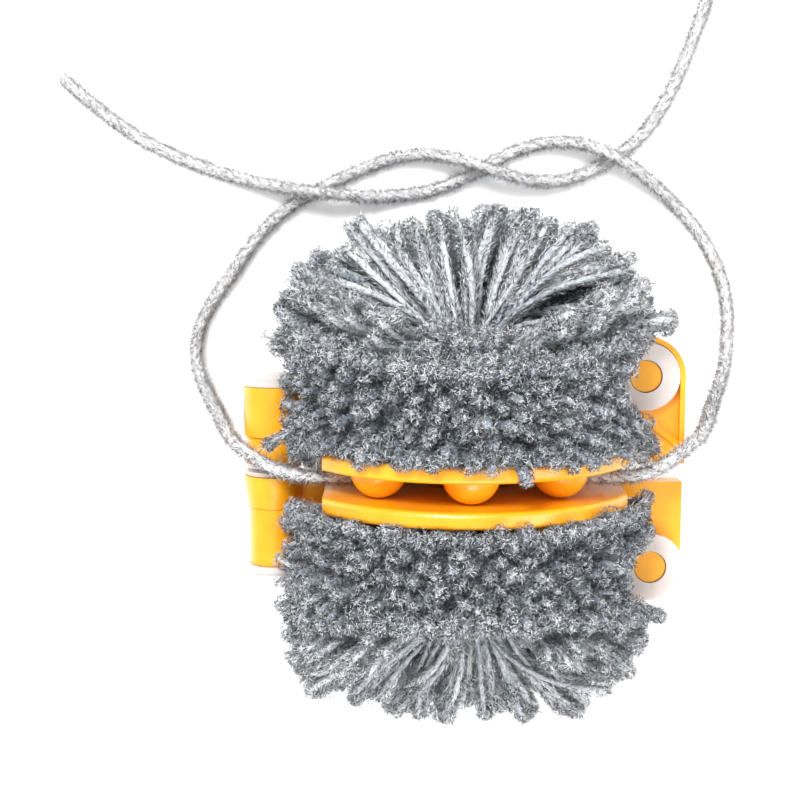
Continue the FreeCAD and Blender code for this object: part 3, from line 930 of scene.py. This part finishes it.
    def strands(self) -> tuple:
        """Long strands of the fan and the crest, and strays with ends of their own.

        Returns:
            The form of the strands, the stations along them and their tints.
        """
        random = self.random
        groups = [self.fan(), self.crest()]
        if self.strays:
            extra = np.array(self.strays)
            first, last = extra[:, 0], extra[:, 1]
            lift = np.array([0.0, 0.0, 1.5])
            groups.append((first, first * 0.6 + last * 0.4, first * 0.2 + last * 0.8 + lift, last))
        start, rise, before, end = (np.concatenate(parts) for parts in zip(*groups))
        fit = self.clear(end, 1.6) & (end[:, 2] > 1.5)
        start, rise, before, end = start[fit], rise[fit], before[fit], end[fit]
        tint = random.random(len(end))
        paths = bezier((start, rise, before, end), self.strand_stations)
        paths[:, :, 2] = np.maximum(paths[:, :, 2], self.core_floor)
        along = np.linspace(0, 1, self.strand_stations)
        flare = np.where(along > 0.99, 0.5, 0.9 + 0.9 * np.clip(along - 0.6, 0, 1))
        size = self.strand_radius * random.uniform(0.8, 1.15, len(end))
        across = np.array([0.31, 0.2, -0.9])
        radii = size[:, None] * flare[None, :]
        form = tubes(paths, radii, tint, across, lobe=0.22, pitch=11.0)
        # Painted shade: strands are darker at the hub and lighter towards their cut ends
        form.shade = 0.45 + 0.45 * form.shade
        return form, paths, tint

    def fluff(self, ends: np.ndarray, ahead: np.ndarray, tint: np.ndarray) -> Form:
        """Fluff at every cut end: a ball of tangled fibres that runs down the stalk.

        The fibres lie mostly along the ball's surface. Two in three are on the ball itself, with
        painted light at its crown, and the rest wrap the stalk below it, in painted shade. Painted
        light makes the tufts lighter with their depth, towards the notch.

        Args:
            ends: centres of the cut ends.
            ahead: directions of the ends.
            tint: one value for each end.

        Returns:
            The fibres of all ends.
        """
        many = self.fibres_per_tip
        random = self.random
        count = len(ends) * many
        base = np.repeat(ahead, many, axis=0)
        spread = unit(random.normal(size=(count, 3)))
        across = unit(spread - base * (spread * base).sum(axis=1, keepdims=True))
        ball = random.random(count) < self.ball_share
        centre = 1.6
        back = np.where(ball, centre, random.uniform(centre, 6.5, count))
        outward = np.where(ball[:, None], unit(spread + base * 0.55), unit(across + base * 0.1))
        size = np.repeat(random.uniform(0.7, 1.2, len(ends)), many)
        away = self.ball_radius * size * random.uniform(0.75, 1.0, count)
        roots = np.repeat(ends, many, axis=0) - base * back[:, None] + outward * away[:, None]
        tangled = unit(np.cross(outward, random.normal(size=(count, 3))))
        out = unit(tangled + outward * random.uniform(-0.1, 0.5, count)[:, None] + base * 0.3)
        own = np.clip(np.repeat(tint, many) + random.normal(0, 0.12, count), 0, 1)
        crown = np.clip((outward * base).sum(axis=1), 0, 1)
        depth = np.clip(back - centre, 0, None)
        # Painted light and shade: tufts lighter towards the notch, crowns lighter than their sides,
        # stalks darker further down
        lit = np.repeat(np.clip((ends[:, 1] - 22.0) / 26.0, 0, 1) * 0.45, many)
        shade = np.where(ball, 0.15 + 0.6 * crown, 0.2 - 0.05 * depth) + lit
        shade = shade + 0.15 * random.random(count)
        lengths = random.uniform(0.7, 1.6, count)
        width = self.tip_fibre_width
        return fine_fibres(roots, out, lengths, width, own, shade, random, outward)

    def hair(self, paths: np.ndarray, tint: np.ndarray) -> Form:
        """Fibres round the long strands, which stand off more towards the cut end.

        Args:
            paths: stations of the strands, (strands, stations, 3).
            tint: one value for each strand.

        Returns:
            The fibres of all strands.
        """
        random = self.random
        many = self.fibres_per_strand
        strand = np.repeat(np.arange(len(paths)), many)
        station = 3.0 + (paths.shape[1] - 4.01) * random.random(len(strand)) ** 0.8
        low = station.astype(int)
        part = (station - low)[:, None]
        centre = paths[strand, low] * (1 - part) + paths[strand, low + 1] * part
        along = unit(paths[strand, low + 1] - paths[strand, low])
        spread = unit(random.normal(size=(len(strand), 3)))
        outward = unit(spread - along * (spread * along).sum(axis=1, keepdims=True))
        far = station / paths.shape[1]
        loose = (0.1 + 0.45 * far * random.random(len(strand)))[:, None]
        swirl = np.cross(along, outward) * random.uniform(-0.8, 1.0, len(strand))[:, None]
        out = unit(along * 0.8 + outward * loose + swirl)
        own = np.clip(tint[strand] + random.normal(0, 0.15, len(strand)), 0, 1)
        # Painted light: fibres are lighter towards the strand's cut end
        shade = 0.5 + 0.5 * far + 0.3 * random.random(len(strand))
        thick = 0.75 + 0.55 * far
        roots = centre + outward * (thick * random.uniform(0.7, 1.05, len(strand)))[:, None]
        lengths = random.uniform(1.0, 2.6, len(strand))
        width = self.strand_fibre_width
        return fine_fibres(roots, out, lengths, width, own, shade, random, outward)

    def build(self, finish: bpy.types.Material) -> None:
        """Make the pile's pieces, dress them and let them ride.

        Args:
            finish: the cut yarn's material.
        """
        stalks, ends, ahead, tint = self.tips()
        strands, paths, strand_tint = self.strands()
        last = paths[:, -1]
        fluff = self.fluff(
            np.concatenate([ends, last]),
            np.concatenate([ahead, unit(last - paths[:, -3])]),
            np.concatenate([tint, strand_tint]),
        )
        forms = {"core": self.core(), "tips": stalks, "strands": strands}
        for number, part in enumerate(shared_out(fluff, self.most_fibres), 1):
            forms[f"fluff_{number}"] = part
        forms["hair"] = self.hair(paths, strand_tint)
        pieces = []
        for part, form in forms.items():
            piece = mesh_object(f"{self.name}_{part}", self.placed(form))
            piece.data.materials.append(finish)
            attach(piece, self.body)
            pieces.append(piece)
            log.info("%s: %d faces", piece.name, len(piece.data.polygons))
        for piece in pieces:
            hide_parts(self.name)


# Loose strands that hang off the near piles: start and end as x, depth and height
STRAYS = {
    (Half.UPPER, Side.NEAR): (
        ((-39.0, 14.0, 18.0), (-48.5, 7.5, 13.5)),
        ((-38.0, 15.0, 20.0), (-41.0, 6.5, 17.0)),
        ((-34.0, 12.0, 18.0), (-38.5, 3.6, 14.5)),
        ((-33.0, 12.0, 20.0), (-36.0, 3.8, 17.5)),
        ((-36.0, 13.0, 16.0), (-42.0, 4.6, 13.0)),
        ((36.0, 14.0, 16.0), (46.0, 5.5, 9.0)),
        ((35.0, 16.0, 20.0), (44.5, 8.5, 14.0)),
        ((34.0, 12.0, 20.0), (42.5, 4.5, 15.0)),
    ),
    (Half.LOWER, Side.NEAR): (
        ((35.0, 11.0, 18.0), (44.0, 5.0, 12.0)),
        ((34.0, 12.0, 14.0), (43.5, 7.5, 8.0)),
        ((36.0, 30.0, 14.0), (49.0, 36.5, 7.0)),
    ),
}


# Tie yarn


# Free stretch from the left of the groove, over the hinge, and round to the right
LEFT_FALL = [
    (-34.5, 0.0, 14.0), (-39.5, 0.0, 13.765), (-44.2, 0.5, 11.9), (-49.3, 2.9, 11.6),
    (-54.6, 5.8, 9.3), (-58.5, 8.3, 4.6), (-60.6, 10.2, -2.6), (-63.5, 12.4, -12.0),
    (-67.6, 15.4, -25.0), (-71.3, 18.8, -36.5),
]
LEFT_LAID = [
    (-73.4, 24.4, 3.2), (-72.9, 31.2, 1.5), (-68.9, 39.2, 1.5), (-62.8, 47.2, 1.5), (-57.0, 56.2, 1.5),
    (-48.5, 64.6, 1.5), (-38.5, 70.6, 1.5), (-27.4, 75.6, 1.5), (-17.5, 79.2, 1.5), (-7.6, 80.0, 4.0),
    (1.8, 77.7, 7.5), (10.8, 74.7, 7.5), (20.2, 72.2, 4.0), (30.0, 72.6, 1.5), (38.8, 76.3, 1.5),
    (46.2, 81.0, 1.5), (52.2, 86.9, 1.5), (57.3, 95.2, 1.5), (61.8, 105.5, 1.5), (65.4, 115.4, 1.5),
    (68.4, 125.0, 1.5),
]
# Free stretch from the right of the groove, over the tray, and round to the left
RIGHT_FALL = [
    (34.5, 0.0, 14.0), (39.5, 0.0, 13.765), (44.8, 0.9, 12.4), (49.8, 3.1, 9.3), (54.8, 5.8, 5.8),
    (59.3, 8.3, 1.0), (62.6, 10.6, -7.5), (66.0, 13.0, -19.0), (70.2, 16.2, -31.0), (73.5, 20.6, -39.3),
]
RIGHT_LAID = [
    (75.2, 27.4, 2.4), (75.4, 36.0, 1.5), (73.4, 46.4, 1.5), (68.6, 56.2, 1.5), (61.2, 65.0, 1.5),
    (53.6, 71.6, 4.0), (46.3, 76.8, 7.5), (38.3, 81.0, 7.5), (30.2, 83.4, 4.0), (21.0, 82.6, 1.5),
    (12.0, 79.6, 1.5), (3.8, 74.2, 1.5), (-7.0, 69.8, 1.5), (-16.4, 68.6, 1.5), (-25.6, 68.0, 4.0),
    (-34.6, 69.0, 7.5), (-43.2, 69.9, 7.5), (-52.0, 71.3, 4.0), (-62.2, 73.7, 1.5), (-74.8, 77.8, 1.5),
    (-87.2, 83.6, 1.5), (-98.4, 91.4, 1.5), (-108.8, 100.5, 1.5),
]
# Round the strands in the hub: x and height over the ring's axis
CORE_BEND = [(-34.5, 14.0), (-26.0, 14.4), (-19.5, 8.5), (-18.7, -2.0), (-13.5, -13.0), (-4.8, -18.9)]


def spline_line(name: str, points: list) -> np.ndarray:
    """Points along the smooth spline whose control points are a route's.

    Args:
        name: name of the short-lived curve.
        points: control points in millimetres.

    Returns:
        The spline's points in millimetres, closely spaced.
    """
    curve = bpy.data.curves.new(name, "CURVE")
    curve.dimensions = "3D"
    curve.resolution_u = 24
    spline = curve.splines.new("NURBS")
    spline.points.add(len(points) - 1)
    spline.points.foreach_set("co", [v for p in points for v in (*p, 1.0)])
    spline.order_u = 3
    spline.use_endpoint_u = True
    holder = bpy.data.objects.new(name, curve)
    mesh = bpy.data.meshes.new_from_object(holder)
    line = np.zeros(len(mesh.vertices) * 3)
    mesh.vertices.foreach_get("co", line)
    bpy.data.objects.remove(holder)
    bpy.data.curves.remove(curve)
    bpy.data.meshes.remove(mesh)
    return line.reshape(-1, 3)


def evenly(line: np.ndarray, step: float) -> np.ndarray:
    """Points of a line at an even spacing.

    Args:
        line: points of the line, (n, 3).
        step: spacing wanted.

    Returns:
        Points from the line's first to its last, linearly between the given ones.
    """
    lengths = np.concatenate([[0], np.cumsum(np.linalg.norm(np.diff(line, axis=0), axis=1))])
    marks = np.linspace(0, lengths[-1], int(lengths[-1] / step) + 1)
    return np.stack([np.interp(marks, lengths, line[:, i]) for i in range(3)], axis=1)


@dataclass
class TieYarn:
    """One stretch of the tie yarn: three plies twisted round each other, with stray fibres."""

    name: str
    route: list
    reference: tuple
    seed: int
    free: bool = True
    diameter: float = 3.0
    ply_radius: float = 0.9
    ply_offset: float = 0.5
    pitch: float = 10.5
    step: float = 0.55
    fibres_per_mm: float = 90.0
    table_gap: float = 0.1

    @property
    def node(self) -> str:
        """The CAD node that the stretch replaces."""
        return f"tie_yarn_{self.name}"

    def build(self, finish: bpy.types.Material) -> None:
        """Each ply is a round tube whose middle runs round the line in a helix of the ply offset,
        one turn for each pitch, a third of a turn from the next ply. The yarn is thicker and
        thinner by a product of two slow waves.

        Args:
            finish: the tie yarn's material.
        """
        random = np.random.default_rng(self.seed)
        line = evenly(spline_line(f"{self.name}_line", self.route), self.step)
        ahead = unit(np.gradient(line, axis=0))
        across = unit(np.cross(ahead, np.array(self.reference)))
        third = np.cross(ahead, across)
        walked = np.arange(len(line)) * self.step
        thick = 1 + 0.08 * np.sin(walked / 7.0 + random.uniform(0, 6)) * np.sin(walked / 3.1)
        forms = []
        for ply in range(3):
            turn = 2 * math.pi * (walked / self.pitch + ply / 3)
            shift = across * np.cos(turn)[:, None] + third * np.sin(turn)[:, None]
            path = (line + shift * self.ply_offset * thick[:, None])[None]
            radii = (self.ply_radius * thick)[None]
            tint = np.array([0.2 + 0.3 * ply])
            form = tubes(path, radii, tint, np.array(self.reference), sides=8)
            form.shade = np.full(len(form.shade), 0.75)
            forms.append(form)
        plies = joined(forms)
        count = int(len(line) * self.step * self.fibres_per_mm)
        station = random.integers(1, len(line) - 1, count)
        spread = unit(random.normal(size=(count, 3)))
        outward = unit(np.cross(ahead[station], spread))
        along = ahead[station] * random.uniform(-1.6, 1.6, count)[:, None]
        fibres = fine_fibres(
            line[station] + outward * random.uniform(0.85, 1.4, count)[:, None],
            unit(along + outward * 0.7 + spread * 0.5),
            random.uniform(0.7, 2.3, count),
            0.13,
            random.random(count),
            random.uniform(0.3, 0.95, count),
            random,
            outward,
        )
        for part, form in (("plies", plies), ("fibres", fibres)):
            form.points[:, 2] = np.maximum(form.points[:, 2], self.table_gap)
            form.points = form.points * MILLIMETRE
            piece = mesh_object(f"{self.name}_stretch_{part}", form)
            piece.data.materials.append(finish)
            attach(piece, "upper_half")
            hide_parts(self.node)
        if self.free:
            length = np.linalg.norm(np.diff(line, axis=0), axis=1).sum()
            log.info("%s stretch: %.1f mm long", self.name, length)


def raised(points: list) -> list:
    """A route's points with their heights measured from the table instead of the ring's axis."""
    return [(x, y, z + RING_HEIGHT) for x, y, z in points]


# Mouldings, studio and the whole scene


@dataclass
class Mouldings:
    """The CAD pieces that stay as they are and get their finish."""

    arms: tuple = ("near_arm", "far_arm")
    clear_pieces: tuple = ("bar", "hinge_pin", "pin_retainer")

    def dress(self, yellow: bpy.types.Material, milky: bpy.types.Material) -> None:
        """Give each moulding its plastic.

        Args:
            yellow: finish of the arms.
            milky: finish of the bars, the pins and their retainers.
        """
        for half in Half:
            for names, finish in ((self.arms, yellow), (self.clear_pieces, milky)):
                for name in names:
                    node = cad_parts[f"{half.name.lower()}_{name}"]
                    node.data.materials.clear()
                    node.data.materials.append(finish)
                    log.info("%s dressed in %s", node.name, finish.name)


@dataclass
class Studio:
    """White sweep, soft lights and the camera."""

    focal_length: float = 63.0
    distance: float = 350.0
    pitch_degrees: float = 7.0
    target: tuple = (-16.25, 17.0, 45.5)
    floor_size: float = 6.0

    def floor(self) -> None:
        """Lay a square floor under the object."""
        half = self.floor_size / 2
        mesh = bpy.data.meshes.new("floor")
        mesh.from_pydata(
            [(-half, -half, 0), (half, -half, 0), (half, half, 0), (-half, half, 0)], [], [(0, 1, 2, 3)]
        )
        mesh.materials.append(PaintedFloor().material())
        piece = bpy.data.objects.new("floor", mesh)
        bpy.context.scene.collection.objects.link(piece)

    def lamp(self, name: str, place: tuple, size: float, power: float) -> None:
        """Hang one square soft light that looks at the object.

        Args:
            name: the light's name.
            place: its position in metres.
            size: side of the square in metres.
            power: its power in watts.
        """
        light = bpy.data.lights.new(name, "AREA")
        light.shape = "SQUARE"
        light.size = size
        light.energy = power
        holder = bpy.data.objects.new(name, light)
        holder.location = place
        aim = Vector((0, 0, 0.04)) - Vector(place)
        holder.rotation_euler = aim.to_track_quat("-Z", "Y").to_euler()
        bpy.context.scene.collection.objects.link(holder)

    def lights(self) -> None:
        """Set an even white world and three soft lights."""
        world = bpy.data.worlds.new("studio")
        world.use_nodes = True
        back = world.node_tree.nodes["Background"]
        back.inputs["Color"].default_value = (1, 1, 1, 1)
        back.inputs["Strength"].default_value = 0.76
        bpy.context.scene.world = world
        bpy.context.scene.view_settings.view_transform = "Standard"
        self.lamp("key", (-0.35, 0.7, 1.0), 0.35, 16.0)
        self.lamp("fill", (0.7, -0.1, 0.8), 0.6, 4.0)
        self.lamp("lift", (0.1, -0.8, 0.8), 0.6, 6.0)

    def camera(self) -> None:
        """Look at the object from above, leaning a little towards its upper half."""
        lean = math.radians(self.pitch_degrees)
        camera = bpy.data.cameras.new("camera")
        camera.lens = self.focal_length
        camera.sensor_width = 36.0
        camera.clip_start = 0.01
        holder = bpy.data.objects.new("camera", camera)
        x, y, z = self.target
        holder.location = (
            x * MILLIMETRE,
            (y + self.distance * math.sin(lean)) * MILLIMETRE,
            (z + self.distance * math.cos(lean)) * MILLIMETRE,
        )
        holder.rotation_euler = (-lean, 0, 0)
        bpy.context.scene.collection.objects.link(holder)
        bpy.context.scene.camera = holder


def main() -> None:
    """Build every class in order."""
    logging.basicConfig(level=logging.INFO, format="%(message)s")
    studio = Studio()
    studio.camera()
    studio.lights()
    studio.floor()
    tie = TIE_YARN.material()
    bend = [(x, 0.0, z) for x, z in CORE_BEND] + [(-x, 0.0, z) for x, z in reversed(CORE_BEND)]
    left = raised(LEFT_FALL) + LEFT_LAID
    right = raised(RIGHT_FALL) + RIGHT_LAID
    TieYarn("left", left, (0.6, -0.6, -0.5), 11).build(tie)
    TieYarn("right", right, (-0.6, -0.6, -0.5), 12).build(tie)
    TieYarn("core", raised(bend), (0.0, 1.0, 0.0), 13, free=False).build(tie)
    Mouldings().dress(GLOSSY_YELLOW.material(), MILKY_CLEAR.material())
    cut = CUT_YARN.material()
    for index, half in enumerate(Half):
        for number, side in enumerate(Side):
            pile = YarnPile(half, side, seed=21 + 2 * index + number)
            pile.strays = STRAYS.get((half, side), ())
            if side is Side.FAR:
                pile.fibres_per_tip = 90
                pile.fibres_per_strand = 130
            pile.build(cut)


if __name__ == "__main__":
    main()
